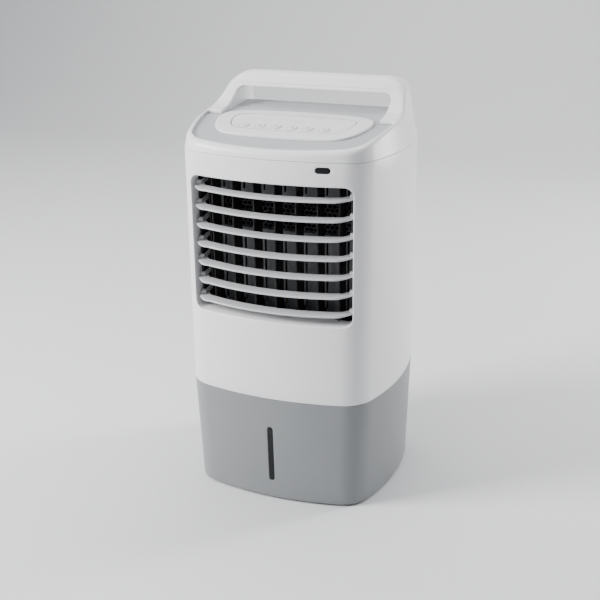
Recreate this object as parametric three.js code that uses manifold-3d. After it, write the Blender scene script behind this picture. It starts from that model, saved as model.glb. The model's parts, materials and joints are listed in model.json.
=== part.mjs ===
// Portable evaporative cooler: a grey base with a rear-drawn water tank, white housings with a louvred
// outlet, and a top cover whose raised loop is the carrying handle. Millimetres, +Z up, front towards -Y.
// The origin is at the middle of the footprint, on the floor.
import * as THREE from "three";
import { mergeVertices } from "three/addons/utils/BufferGeometryUtils.js";
import Module from "manifold-3d";

const wasm = await Module();
wasm.setup();

// ---- driving dimensions ------------------------------------------------------------------------------
const HALF_W = 150.5; // widest point of the plan, half
const HALF_D = 135; // front and rear crowns of the plan
const FRONT_R = 418; // bow of the front
const SIDE_R = 327; // bow of each side
const SIDE_Y = 8; // where the sides are widest
const REAR_R = 900; // bow of the rear
const FRONT_CORNER = 48.5;
const REAR_CORNER = 60;
const WALL = 2.5;
const GAP = 0.3; // between neighbouring solids

const FOOT_H = 2.7;
const BASE_Z = 3; // underside of the base
const BASE_TOP = 162; // seam between base and housings
const COVER_Z = 498; // seam between housings and top cover
const TOP_Z = 584; // top of the handle
const BASE_TAPER = 5; // how far the base draws in at its underside
const BASE_SHIFT = 2.5; // extra draw at the front
const COVER_LEAN = 0.19; // inward lean of the cover's wall, per mm of height
const HOUSING_SPLIT = 95; // y of the seam between front and rear housing

const OPENING = { half: 115.2, low: 276.9, high: 466.5, r: 12, depth: 38 }; // louvre opening
const BLADES = 7;
const BLADE_PITCH = 26.13;
const PIVOT_TOP = 452.2; // height of the top blade's pivot
const PIVOT_Y = -102;
const BLADE_HALF = 112.2;
const BLADE_REACH = 31.5; // pivot to the front edge of a blade, at the middle
const BLADE_CHORD = 16;
const BLADE_TILT = THREE.MathUtils.degToRad(8); // front edge low at rest
const LINK_X = -105.5;
const LINK_ARM = 21; // pivot to link pin

const VANES = 7;
const VANE_PITCH = 30.5;
const VANE_FRONT = -102.5;
const VANE_REAR = -76;
const VANE_Y = -86; // pivot axis of the vanes
const VANE_LOW = 278;
const VANE_HIGH = 465.6;
const FRAME = { half: 115, front: -96.6, back: -64, low: 265, high: 471.5 }; // outlet frame
const WINDOW = { half: 95, low: 383.5, high: 434 }; // blower outlet in the plate

const WHEEL = { y: 12, z: 383, r: 50, half: 88 };
const SCROLL = { y: 14, z: 382, r: 60, half: 97 };
const PAD = { half: 105, front: 90, back: 120, low: 200, high: 447 };
const GRILLE = { half: 112, low: 186, high: 470 };
const RISER = { x: 70, y: 81 };
const TANK = { half: 106, front: -112, low: 6.6, high: 140, bay: 112, bayTop: 150 };

const IR_X = 78; // centre of the remote receiver's window
const INLET = { x: 85, z: 173 }; // mains cord inlet, at the rear
const RIM_INSET = 11.5; // rim of the top cover, outside the deck
const RIDGE = { y: 74, z: 539 }; // rear edge of the deck, under the handle
const RIDGE_FALL = { y: 23, z: 11.5 }; // slope behind the ridge, down to the back of the opening
const OPENING_BACK = 150; // the hand opening is cut well past the rear wall
const HANDLE = { half: 116.5, foot: -14, barFront: 43, under: 562.5, back: 91, holeR: 10 };
const LOOP_CORNER = { x: 101.2, r: 40 }; // rounded upper corners of the handle, seen from the front
const KEYS = 6;
const KEY_PITCH = 23;
const KEY_X = -60.5;
const KEY_Y = -58.5;
const KEY_R = 6.7;

// ---- solids ------------------------------------------------------------------------------------------
function solid(geometry) {
  const bare = geometry.clone();
  bare.deleteAttribute("normal");
  bare.deleteAttribute("uv");
  const merged = mergeVertices(bare, 1e-3);
  const vertProperties = new Float32Array(merged.attributes.position.array);
  const triVerts = new Uint32Array(merged.index.array);
  return new wasm.Manifold(new wasm.Mesh({ numProp: 3, vertProperties, triVerts }));
}

function surface(body) {
  const mesh = body.getMesh();
  const geometry = new THREE.BufferGeometry();
  geometry.setAttribute("position", new THREE.BufferAttribute(mesh.vertProperties, 3));
  geometry.setIndex(new THREE.BufferAttribute(mesh.triVerts, 1));
  geometry.computeVertexNormals();
  return geometry;
}

const joined = (...bodies) => bodies.reduce((whole, body) => whole.add(body));
const without = (body, ...cuts) => cuts.reduce((rest, cut) => rest.subtract(cut), body);

function box(x0, x1, y0, y1, z0, z1) {
  const geometry = new THREE.BoxGeometry(x1 - x0, y1 - y0, z1 - z0);
  return solid(geometry.translate((x0 + x1) / 2, (y0 + y1) / 2, (z0 + z1) / 2));
}

// A round rod along one axis, from a to b, its centre line at (u, v) in the other two axes, in order.
function rod(axis, r, a, b, u, v, sides = 12) {
  const geometry = new THREE.CylinderGeometry(r, r, b - a, sides);
  const middle = (a + b) / 2;
  if (axis === "x") return solid(geometry.rotateZ(Math.PI / 2).translate(middle, u, v));
  if (axis === "y") return solid(geometry.translate(u, middle, v));
  return solid(geometry.rotateX(Math.PI / 2).translate(u, v, middle));
}

function extruded(shape, depth, curveSegments, steps = 1) {
  return new THREE.ExtrudeGeometry(shape, { depth, steps, curveSegments, bevelEnabled: false });
}

// A plan shape (x, y) raised from z0 to z1.
function prismZ(shape, z0, z1, curveSegments = 6) {
  return solid(extruded(shape, z1 - z0, curveSegments).translate(0, 0, z0));
}

// A front-view shape (x, z) run from y0 to y1.
function prismY(shape, y0, y1, curveSegments = 5) {
  return solid(extruded(shape, y1 - y0, curveSegments).rotateX(Math.PI / 2).translate(0, y1, 0));
}

// A side-view outline, a list of [y, z], run from x0 to x1.
function prismX(outline, x0, x1) {
  const shape = new THREE.Shape(outline.map(([y, z]) => new THREE.Vector2(y, z)));
  const turn = new THREE.Matrix4().set(0, 0, 1, x0, 1, 0, 0, 0, 0, 1, 0, 0, 0, 0, 0, 1);
  return solid(extruded(shape, x1 - x0, 1).applyMatrix4(turn));
}

function roundedRect(half, low, high, r) {
  const shape = new THREE.Shape();
  shape.absarc(half - r, low + r, r, -Math.PI / 2, 0, false);
  shape.absarc(half - r, high - r, r, 0, Math.PI / 2, false);
  shape.absarc(r - half, high - r, r, Math.PI / 2, Math.PI, false);
  shape.absarc(r - half, low + r, r, Math.PI, Math.PI * 1.5, false);
  return shape;
}

// A closed outline through the points of its right half, mirrored to the left.
function mirroredSpline(rightHalf, count) {
  const right = rightHalf.map(([x, y]) => new THREE.Vector3(x, y, 0));
  const left = rightHalf.slice(1, -1).map(([x, y]) => new THREE.Vector3(-x, y, 0)).reverse();
  const curve = new THREE.CatmullRomCurve3([...right, ...left], true, "centripetal");
  return new THREE.Shape(curve.getPoints(count).slice(0, -1).map((p) => new THREE.Vector2(p.x, p.y)));
}

// ---- the body's plan ---------------------------------------------------------------------------------
// Two arcs, each [x, y, r], joined by a corner of radius r: its centre lies inside both.
function cornerCentre(first, second, r, side) {
  const reach1 = first.r - r;
  const reach2 = second.r - r;
  const dx = second.x - first.x;
  const dy = second.y - first.y;
  const span = Math.hypot(dx, dy);
  const along = (span * span + reach1 * reach1 - reach2 * reach2) / (2 * span);
  const across = Math.sqrt(reach1 * reach1 - along * along);
  const choices = [1, -1].map((sign) => ({
    x: first.x + (dx * along - sign * dy * across) / span,
    y: first.y + (dy * along + sign * dx * across) / span,
  }));
  choices.sort((a, b) => b.x + side * b.y - (a.x + side * a.y));
  return choices[0];
}

// The plan outline, drawn in by inset: four bowed sides and four rounded corners.
function plan(inset = 0) {
  const front = { x: 0, y: FRONT_R - HALF_D, r: FRONT_R - inset };
  const side = { x: HALF_W - SIDE_R, y: SIDE_Y, r: SIDE_R - inset };
  const rear = { x: 0, y: HALF_D - REAR_R, r: REAR_R - inset };
  const c1 = cornerCentre(front, side, FRONT_CORNER - inset, -1);
  const c2 = cornerCentre(side, rear, REAR_CORNER - inset, 1);
  const angle = (from, to) => Math.atan2(to.y - from.y, to.x - from.x);
  const a1 = angle(front, c1);
  const a2 = angle(side, c1);
  const a3 = angle(side, c2);
  const a4 = angle(rear, c2);
  const shape = new THREE.Shape();
  const arc = (x, y, r, from, to) => shape.absarc(x, y, r, from, to, false);
  arc(0, front.y, front.r, -Math.PI - a1, a1);
  arc(c1.x, c1.y, FRONT_CORNER - inset, a1, a2);
  arc(side.x, side.y, side.r, a2, a3);
  arc(c2.x, c2.y, REAR_CORNER - inset, a3, a4);
  arc(0, rear.y, rear.r, a4, Math.PI - a4);
  arc(-c2.x, c2.y, REAR_CORNER - inset, Math.PI - a4, Math.PI - a3);
  arc(-side.x, side.y, side.r, Math.PI - a3, Math.PI - a2);
  arc(-c1.x, c1.y, FRONT_CORNER - inset, Math.PI - a2, Math.PI - a1);
  return shape;
}

// The plan raised between two heights, drawn in by draw(z) and moved back by shift(z).
function tapered(inset, z0, z1, draw, shift = () => 0, steps = 1) {
  const geometry = extruded(plan(inset), z1 - z0, 6, steps).translate(0, 0, z0);
  const points = geometry.attributes.position;
  for (let i = 0; i < points.count; i++) {
    const z = points.getZ(i);
    const scale = 1 - draw(z) / HALF_W;
    points.setX(i, points.getX(i) * scale);
    points.setY(i, points.getY(i) * scale + shift(z));
  }
  return solid(geometry);
}

const baseDraw = (z) => (BASE_TAPER * (BASE_TOP - z)) / (BASE_TOP - BASE_Z);
const baseShift = (z) => (BASE_SHIFT * (BASE_TOP - z)) / (BASE_TOP - BASE_Z);
const baseSolid = (inset, z0, z1) => tapered(inset, z0, z1, baseDraw, baseShift);
const coverDraw = (z) => COVER_LEAN * Math.max(0, z - COVER_Z);
const coverSolid = (inset, z0, z1) => tapered(inset, z0, z1, coverDraw, () => 0, 3);

// Height of the cover's rim, rising from the front to the feet of the handle.
function rimZ(y) {
  const t = y + 126;
  return 510 + 0.32 * t - 0.00085 * t * t;
}

// Height of the deck: it follows the rim, then rises gently to the ridge under the handle.
function deckZ(y) {
  const turn = -20;
  if (y <= turn) return rimZ(y) - 4.5;
  const f = (y - turn) / (RIDGE.y - turn);
  const start = rimZ(turn) - 4.5;
  return start + (RIDGE.z - start) * (0.75 * f + 0.25 * f * f);
}

// A sheet that follows the deck from y0 to y1, between two offsets from its height.
function deckBand(y0, y1, under, over, half = HALF_W) {
  const steps = 8;
  const ys = Array.from({ length: steps + 1 }, (_, i) => y0 + ((y1 - y0) * i) / steps);
  const lower = ys.map((y) => [y, deckZ(y) + under]);
  const upper = ys.map((y) => [y, deckZ(y) + over]).reverse();
  return prismX([...lower, ...upper], -half, half);
}

// ---- looks -------------------------------------------------------------------------------------------
function look(color, roughness, metalness = 0) {
  return { color, roughness, metalness };
}
const WHITE = look(0xe9e9ea, 0.32);
const GREY = look(0x979a9d, 0.38);
const DECK = look(0xbcbfc2, 0.42);
const LENS = look(0x1c1e21, 0.12);
const BLACK = look(0x121214, 0.45);
const DARK = look(0x4b4e53, 0.5);
const STEEL = look(0xb4b6b8, 0.3, 0.9);
const RUBBER = look(0x2a2a2c, 0.8);
const PULP = look(0x8a6a3c, 0.95);
const MESH = look(0x3b3d40, 0.8);
const CLEAR = look(0xcfd6da, 0.25);
const BOARD = look(0x1f6b3a, 0.5);
const FLOAT = look(0xd8572a, 0.5);

const cooler = new THREE.Group();

function addNode(name, body, finish) {
  const mesh = new THREE.Mesh(surface(body), new THREE.MeshStandardMaterial(finish));
  mesh.name = name;
  cooler.add(mesh);
  return mesh;
}

// ---- base, feet and level window ---------------------------------------------------------------------
function addBase() {
  const shell = without(
    baseSolid(0, BASE_Z, BASE_TOP - GAP),
    baseSolid(WALL, BASE_Z + 3, BASE_TOP + 10),
    box(-TANK.bay, TANK.bay, 100, 140, BASE_Z + 3, TANK.bayTop),
    prismY(roundedRect(4.25, 30.2, 117.3, 4.2), -140, -100),
  );
  addNode("base_shell", shell, GREY);

  const front = without(baseSolid(0, 10, 130), baseSolid(WALL, 5, 135));
  addNode("level_window", front.intersect(prismY(roundedRect(3.95, 30.5, 117, 3.9), -140, -100)), LENS);

  const places = [[-105, -80], [105, -80], [105, 92], [-105, 92]];
  places.forEach(([x, y], i) => addNode(`foot_${i + 1}`, rod("z", 13, 0, FOOT_H, x, y, 20), RUBBER));
}

// ---- water tank, drawn out to the rear ---------------------------------------------------------------
function addTank() {
  const face = without(baseSolid(0, BASE_Z, TANK.bayTop), baseSolid(3, BASE_Z - 2, TANK.bayTop + 2))
    .intersect(box(0.4 - TANK.bay, TANK.bay - 0.4, 90, 140, BASE_Z + 3.4, TANK.bayTop - 0.4));
  const plate = new THREE.Shape();
  const r = 34;
  plate.moveTo(TANK.half, 130);
  plate.lineTo(-TANK.half, 130);
  plate.absarc(r - TANK.half, TANK.front + r, r, Math.PI, Math.PI * 1.5, false);
  plate.absarc(TANK.half - r, TANK.front + r, r, -Math.PI / 2, 0, false);
  const tub = prismZ(plate, TANK.low, TANK.high).intersect(baseSolid(1, BASE_Z - 2, TANK.bayTop));
  const inner = new THREE.Shape();
  const ri = r - WALL;
  inner.moveTo(TANK.half - WALL, 114);
  inner.lineTo(WALL - TANK.half, 114);
  inner.absarc(r - TANK.half, TANK.front + r, ri, Math.PI, Math.PI * 1.5, false);
  inner.absarc(TANK.half - r, TANK.front + r, ri, -Math.PI / 2, 0, false);
  const cavity = prismZ(inner, TANK.low + WALL, TANK.high + 5);
  const pocket = box(-45, 45, 116.5, 140, 104, 131);
  const floatPost = rod("z", 2.5, TANK.low + 1, 122, 0, -92, 8);
  addNode("water_tank", joined(without(joined(face, tub), cavity, pocket), floatPost), GREY);

  const float = without(
    rod("z", 11, TANK.low + WALL + GAP, 22, 0, -92, 16),
    rod("z", 3.2, 0, 40, 0, -92, 8),
  );
  addNode("level_float", float, FLOAT);

  const hoseHole = rod("z", 7.5, 100, 200, RISER.x, RISER.y, 10);
  const cover = box(0.4 + WALL - TANK.half, TANK.half - WALL - 0.4, -70, 100, 136, 139);
  addNode("tank_cover", without(cover, hoseHole), CLEAR);

  const pump = joined(
    box(RISER.x - 24, RISER.x + 24, RISER.y - 24, RISER.y + 22, 9.5, 46),
    rod("z", 5.5, 40, 54, RISER.x, RISER.y, 12),
  );
  addNode("water_pump", pump, BLACK);
  addNode("pump_hose", tube(54 + GAP, 146), CLEAR);
}

function tube(z0, z1) {
  return without(
    rod("z", 5.5, z0, z1, RISER.x, RISER.y, 12),
    rod("z", 3.5, z0 - 1, z1 + 1, RISER.x, RISER.y, 12),
  );
}

// ---- white housings ----------------------------------------------------------------------------------
function addHousings() {
  const outer = prismZ(plan(), BASE_TOP, COVER_Z - GAP);
  const shell = without(outer, prismZ(plan(WALL), BASE_TOP - 5, COVER_Z + 5));
  const cavity = roundedRect(OPENING.half, OPENING.low, OPENING.high, OPENING.r);
  const rimShape = roundedRect(
    OPENING.half + WALL, OPENING.low - WALL, OPENING.high + WALL, OPENING.r + WALL,
  );
  const recess = prismY(rimShape, -140, OPENING.depth - HALF_D).intersect(outer);
  const irWindow = roundedRect(10, 483.8, 492.2, 4.1);
  const bearings = [];
  for (let i = 0; i < BLADES; i++)
    bearings.push(rod("x", 2.2, 25 - HALF_W, HALF_W - 25, PIVOT_Y, PIVOT_TOP - i * BLADE_PITCH, 6));
  const irCut = prismY(irWindow, -140, -110).translate([IR_X, 0, 0]);
  const front = without(
    joined(shell.intersect(box(-160, 160, -140, HOUSING_SPLIT, BASE_TOP - 1, COVER_Z)), recess),
    prismY(cavity, -140, -60),
    irCut,
    ...bearings,
  );
  addNode("front_housing", front, WHITE);

  const lens = prismY(roundedRect(9.7, 484.1, 491.9, 3.8), -140, -110).translate([IR_X, 0, 0]);
  addNode("ir_window", shell.intersect(lens), LENS);

  const inletHole = rod("y", 6.4, 110, 140, INLET.x, INLET.z, 16);
  const rear = without(
    shell.intersect(box(-160, 160, HOUSING_SPLIT + GAP, 140, BASE_TOP - 1, COVER_Z)),
    box(-GRILLE.half, GRILLE.half, 90, 140, GRILLE.low, GRILLE.high),
    inletHole,
  );
  addNode("rear_housing", rear, WHITE);
  const gland = without(
    rod("y", 6, 126, 134.6, INLET.x, INLET.z, 16),
    rod("y", 3.6, 120, 140, INLET.x, INLET.z, 12),
  );
  addNode("cord_inlet", gland, RUBBER);
}

// ---- intake grille, filter, pad and water path -------------------------------------------------------
function addWetSide() {
  const thick = 4;
  const ring = without(
    prismZ(plan(), GRILLE.low + 0.4, GRILLE.high - 0.4, 3),
    prismZ(plan(thick), GRILLE.low - 2, GRILLE.high + 2, 3),
  );
  const rows = 12;
  const rowPitch = (GRILLE.high - GRILLE.low - 16) / rows;
  const slots = [];
  for (let i = 0; i < rows; i++) {
    const z = GRILLE.low + 8 + (i + 0.5) * rowPitch;
    for (const x of [-52, 52]) slots.push(box(x - 48, x + 48, 90, 140, z - 7, z + 7));
  }
  const panel = ring.intersect(box(0.4 - GRILLE.half, GRILLE.half - 0.4, 100, 140, 0, 600));
  addNode("intake_grille", without(panel, ...slots), WHITE);
  addNode("dust_filter", box(-98, 98, 121.2, 123, GRILLE.low + 4, GRILLE.high - 4), MESH);
  addNode("cooling_pad", box(-PAD.half, PAD.half, PAD.front, PAD.back, PAD.low, PAD.high), PULP);

  const tray = without(
    box(-108, 108, PAD.front - 3, PAD.back + 0.6, 187, PAD.low - GAP),
    box(-105, 105, PAD.front, PAD.back - 2.4, 190, PAD.low + 5),
    rod("z", 5, 180, 195, 0, 105, 10),
  );
  addNode("pad_tray", tray, BLACK);

  const drips = [];
  for (let i = 0; i < 9; i++) drips.push(rod("z", 1.6, 440, 460, (i - 4) * 22, 105, 6));
  const distributor = without(
    box(-108, 108, 74, PAD.back + 0.6, PAD.high + GAP, 466),
    box(-105.5, 105.5, 76.5, PAD.back - 2, PAD.high + 3, 470),
    rod("z", 4, 440, 460, RISER.x, RISER.y, 10),
    ...drips,
  );
  addNode("water_distributor", distributor, BLACK);
  addNode("riser_hose", tube(147, PAD.high), CLEAR);
}

// ---- louvre: seven blades on one link ----------------------------------------------------------------
// A blade in its own frame: the pivot axis is X through the origin and the front edge faces -Y.
function bladeSolid() {
  const under = -3.4;
  const thick = 2.2;
  const bow = FRONT_R - 3;
  const rearBow = bow - BLADE_CHORD;
  const sweep = Math.asin(92 / bow);
  const blade = new THREE.Shape();
  const tipY = -4;
  const leftTipY = -9.5;
  const centreY = bow - BLADE_REACH;
  blade.absarc(0, centreY, bow, -Math.PI / 2 - sweep, -Math.PI / 2 + sweep, false);
  blade.quadraticCurveTo(BLADE_HALF - 2, -19, BLADE_HALF, tipY);
  blade.lineTo(BLADE_HALF, 3.5);
  blade.lineTo(BLADE_HALF - 8, 3.5);
  const rearSweep = Math.asin(98 / rearBow);
  blade.absarc(0, centreY, rearBow, -Math.PI / 2 + rearSweep, -Math.PI / 2 - rearSweep, true);
  blade.lineTo(8 - BLADE_HALF, 3.5);
  blade.lineTo(-BLADE_HALF, 3.5);
  blade.lineTo(-BLADE_HALF, leftTipY);
  blade.quadraticCurveTo(2 - BLADE_HALF, -21, -bow * Math.sin(sweep), centreY - bow * Math.cos(sweep));
  const plate = prismZ(blade, under, under + thick, 5);
  const bosses = [
    rod("x", 3.6, -BLADE_HALF, -BLADE_HALF + 6.5, 0, 0, 8),
    rod("x", 3.6, BLADE_HALF - 5, BLADE_HALF, 0, 0, 8),
    rod("x", 1.7, -BLADE_HALF - 4.6, -BLADE_HALF + 1, 0, 0, 6),
    rod("x", 1.7, BLADE_HALF - 1, BLADE_HALF + 4.6, 0, 0, 6),
  ];
  const lug = without(
    box(LINK_X - 3.3, LINK_X - 1.3, 0, LINK_ARM + 3.6, under, 3.2),
    rod("x", 2.1, LINK_X - 6, LINK_X + 2, LINK_ARM, 0, 8),
  );
  return joined(plate, ...bosses, lug);
}

function addLouvre() {
  const blade = bladeSolid();
  const tilted = blade.rotate([THREE.MathUtils.radToDeg(BLADE_TILT), 0, 0]);
  const pinY = PIVOT_Y + LINK_ARM * Math.cos(BLADE_TILT);
  const pinDrop = LINK_ARM * Math.sin(BLADE_TILT);
  const low = PIVOT_TOP - (BLADES - 1) * BLADE_PITCH;
  const link = [
    box(LINK_X - 0.8, LINK_X + 1.2, pinY - 2.6, pinY + 2.6, low - 4 + pinDrop, PIVOT_TOP + 4 + pinDrop),
  ];
  for (let i = 0; i < BLADES; i++) {
    const z = PIVOT_TOP - i * BLADE_PITCH;
    addNode(`louvre_blade_${i + 1}`, tilted.translate([0, PIVOT_Y, z]), WHITE);
    link.push(rod("x", 1.5, LINK_X - 3.8, LINK_X, pinY, z + pinDrop, 6));
  }
  addNode("louvre_link", joined(...link), BLACK);
}

// ---- swing vanes, their link and motor ---------------------------------------------------------------
const vaneX = (i) => (i - (VANES - 1) / 2) * VANE_PITCH;

function addVanes() {
  const pinY = VANE_Y + 12;
  const link = box(-3 * VANE_PITCH - 5, 3 * VANE_PITCH + 5, pinY - 3.6, pinY + 3.6, 270, 273);
  const holes = [];
  for (let i = 0; i < VANES; i++) {
    const x = vaneX(i);
    const vane = joined(
      box(x - 0.9, x + 0.9, VANE_FRONT, VANE_REAR, VANE_LOW, VANE_HIGH),
      box(x - 0.9, x + 0.9, VANE_Y, pinY + 3, VANE_LOW, VANE_LOW + 5),
      rod("z", 1.8, FRAME.low + 0.6, VANE_LOW + 1, x, VANE_Y, 6),
      rod("z", 1.8, VANE_HIGH - 1, FRAME.high - 0.3, x, VANE_Y, 6),
      rod("z", 1.4, 269.6, VANE_LOW + 1, x, pinY, 6),
    );
    addNode(`vane_${i + 1}`, vane, BLACK);
    holes.push(rod("z", 2, 260, 280, x, pinY, 8));
  }
  addNode("vane_link", without(link, ...holes), BLACK);

  const motor = joined(
    rod("z", 14, 245, FRAME.low - GAP, 0, VANE_Y, 20),
    rod("z", 1.8, FRAME.low - 1, FRAME.low + GAP, 0, VANE_Y, 8),
  );
  addNode("swing_motor", motor, STEEL);
}

// ---- outlet frame, plate and guard -------------------------------------------------------------------
function addOutlet() {
  const bearings = [];
  for (let i = 0; i < VANES; i++)
    bearings.push(rod("z", 2.2, 250, 480, vaneX(i), VANE_Y, 6));
  const frame = without(
    box(-FRAME.half, FRAME.half, FRAME.front, FRAME.back, FRAME.low, FRAME.high),
    box(3 - FRAME.half, FRAME.half - 3, -120, 0, FRAME.low + 3, FRAME.high - 3),
    ...bearings,
  );
  addNode("outlet_frame", frame, BLACK);

  const slots = [];
  for (let i = 0; i < VANES; i++) {
    const x = vaneX(i) - 0.7;
    slots.push(box(x - 1.4, x + 1.4, -80, -40, FRAME.low + 12, WINDOW.low - 5));
    slots.push(box(x - 1.4, x + 1.4, -80, -40, WINDOW.high + 5, FRAME.high - 8));
  }
  const plateBack = FRAME.back + GAP + 2.4;
  const plate = without(
    box(-FRAME.half, FRAME.half, FRAME.back + GAP, plateBack, FRAME.low, FRAME.high),
    box(-WINDOW.half, WINDOW.half, -80, -40, WINDOW.low, WINDOW.high),
    ...slots,
  );
  addNode("outlet_plate", plate, DARK);

  const guard = new THREE.Shape();
  const half = WINDOW.half - GAP;
  const low = WINDOW.low + GAP;
  const high = WINDOW.high - GAP;
  [[-half, low], [half, low], [half, high], [-half, high]].forEach(([x, z], i) =>
    i ? guard.lineTo(x, z) : guard.moveTo(x, z));
  const cell = 10.8;
  const columns = 9;
  const rows = 2;
  for (let row = 0; row < rows; row++) {
    const count = columns - (row % 2);
    for (let i = 0; i < count; i++) {
      const x = (i - (count - 1) / 2) * 20.4;
      const z = (low + high) / 2 + (row - (rows - 1) / 2) * 19;
      const hole = new THREE.Path();
      for (let k = 0; k < 6; k++) {
        const a = Math.PI / 6 + (k * Math.PI) / 3;
        const point = [x + cell * Math.cos(a), z + cell * Math.sin(a)];
        if (k) hole.lineTo(...point);
        else hole.moveTo(...point);
      }
      guard.holes.push(hole);
    }
  }
  addNode("outlet_guard", prismY(guard, FRAME.back + 0.8, FRAME.back + 1.8), DARK);
}

// ---- blower ------------------------------------------------------------------------------------------
function addBlower() {
  const front = FRAME.back + GAP + 2.4 + GAP;
  const w = 2;
  const roofZ = SCROLL.z + SCROLL.r;
  const outer = joined(
    rod("x", SCROLL.r, -SCROLL.half, SCROLL.half, SCROLL.y, SCROLL.z, 36),
    box(-SCROLL.half, SCROLL.half, front, SCROLL.y, WINDOW.low - 2, SCROLL.z + SCROLL.r),
  );
  const inner = joined(
    rod("x", SCROLL.r - w, w - SCROLL.half, SCROLL.half - w, SCROLL.y, SCROLL.z, 36),
    box(w - SCROLL.half, SCROLL.half - w, front - 5, SCROLL.y, WINDOW.low, SCROLL.z + SCROLL.r - w),
  );
  const inlets = rod("x", 38, -120, 120, WHEEL.y, WHEEL.z, 24);
  const roof = prismX(
    [[front - 1, WINDOW.high + w], [front - 1, roofZ + 20], [SCROLL.y, roofZ + 20], [SCROLL.y, roofZ]],
    -120, 120,
  );
  const roofInner = prismX(
    [[front - 6, WINDOW.high], [front - 6, roofZ + 20], [SCROLL.y, roofZ + 20], [SCROLL.y, roofZ - w]],
    -120, 120,
  );
  addNode("scroll_housing", without(without(outer, roof), without(inner, roofInner), inlets), BLACK);

  const blades = [];
  const count = 12;
  for (let i = 0; i < count; i++) {
    const fin = new THREE.BoxGeometry(2 * WHEEL.half - 2, 1.4, 9).translate(0, 0, WHEEL.r - 5.5);
    const lean = new THREE.Matrix4().makeRotationX((i * 2 * Math.PI) / count);
    blades.push(solid(fin.applyMatrix4(lean)).translate([0, WHEEL.y, WHEEL.z]));
  }
  const ring = (x0, x1) => without(
    rod("x", WHEEL.r, x0, x1, WHEEL.y, WHEEL.z, 20),
    rod("x", WHEEL.r - 9, x0 - 1, x1 + 1, WHEEL.y, WHEEL.z, 20),
  );
  const wheel = joined(
    rod("x", WHEEL.r, -1.5, 1.5, WHEEL.y, WHEEL.z, 20),
    rod("x", 10, -14, 14, WHEEL.y, WHEEL.z, 16),
    ring(-WHEEL.half, 3 - WHEEL.half),
    ring(WHEEL.half - 3, WHEEL.half),
    ...blades,
  );
  addNode("blower_wheel", without(wheel, rod("x", 4.3, -20, 20, WHEEL.y, WHEEL.z, 12)), DARK);
  addNode("motor_shaft", rod("x", 4, -118, 18, WHEEL.y, WHEEL.z, 12), STEEL);
  const motor = without(
    joined(
      rod("x", 41, -101, -SCROLL.half - GAP, WHEEL.y, WHEEL.z, 24),
      rod("x", 34, -138, -100, WHEEL.y, WHEEL.z, 24),
    ),
    rod("x", 4.8, -120, -90, WHEEL.y, WHEEL.z, 12),
  );
  addNode("blower_motor", motor, STEEL);
}

// ---- top cover with the handle, deck and controls ----------------------------------------------------
// Front of the handle's legs and bar, seen from the side: it sweeps up from the rim in an S.
const HANDLE_FRONT = [[-14, 535.2], [6, 538], [25, 547.5], [40, 560], [50, 571.5], [58, 579.5], [66, TOP_Z]];

function coverProfile() {
  const rim = [];
  for (let y = -136; y <= HANDLE.foot - 8; y += 12) rim.push([y, rimZ(y)]);
  const back = [[76, TOP_Z - 0.4], [HANDLE.back - 6, TOP_Z - 5], [HANDLE.back, 571], [HANDLE.back + 3, 545]];
  const shelf = [[HANDLE.back + 9, 529], [124, 522], [136, 512]];
  return [...rim, ...HANDLE_FRONT, ...back, ...shelf, [136, COVER_Z - 1], [-136, COVER_Z - 1]];
}

function bezelShape(inset = 0) {
  const half = [[0, -90], [45, -89], [80, -84], [97, -72], [107, -52], [111, -32], [107, -12], [92, 1],
    [62, 7.5], [0, 10.5]];
  return insetShape(half, inset);
}

function panelShape(inset = 0) {
  const half = [[0, -70], [40, -69.4], [66, -67.5], [78, -61.5], [84.5, -48], [88, -32], [84.5, -19.5],
    [72, -13.4], [40, -10.4], [0, -9]];
  return insetShape(half, inset);
}

function insetShape(half, inset) {
  const middle = (half[0][1] + half[half.length - 1][1]) / 2;
  const reach = Math.max(...half.map(([x]) => x));
  const rise = Math.abs(half[0][1] - middle);
  const moved = half.map(([x, y]) => [
    x * (1 - inset / reach),
    middle + (y - middle) * (1 - inset / rise),
  ]);
  return mirroredSpline(moved, 40);
}

// The front view of the cover: as wide as the body, then drawn in to the rounded handle.
function loopShape() {
  const { x, r } = LOOP_CORNER;
  const z = TOP_Z - r;
  const turn = Math.atan(COVER_LEAN);
  const drop = z + r * Math.sin(turn) - COVER_Z + 5;
  const foot = x + r * Math.cos(turn) + COVER_LEAN * drop;
  const shape = new THREE.Shape();
  shape.moveTo(-foot, COVER_Z - 5);
  shape.lineTo(foot, COVER_Z - 5);
  shape.absarc(x, z, r, turn, Math.PI / 2, false);
  shape.absarc(-x, z, r, Math.PI / 2, Math.PI - turn, false);
  return shape;
}

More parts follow.
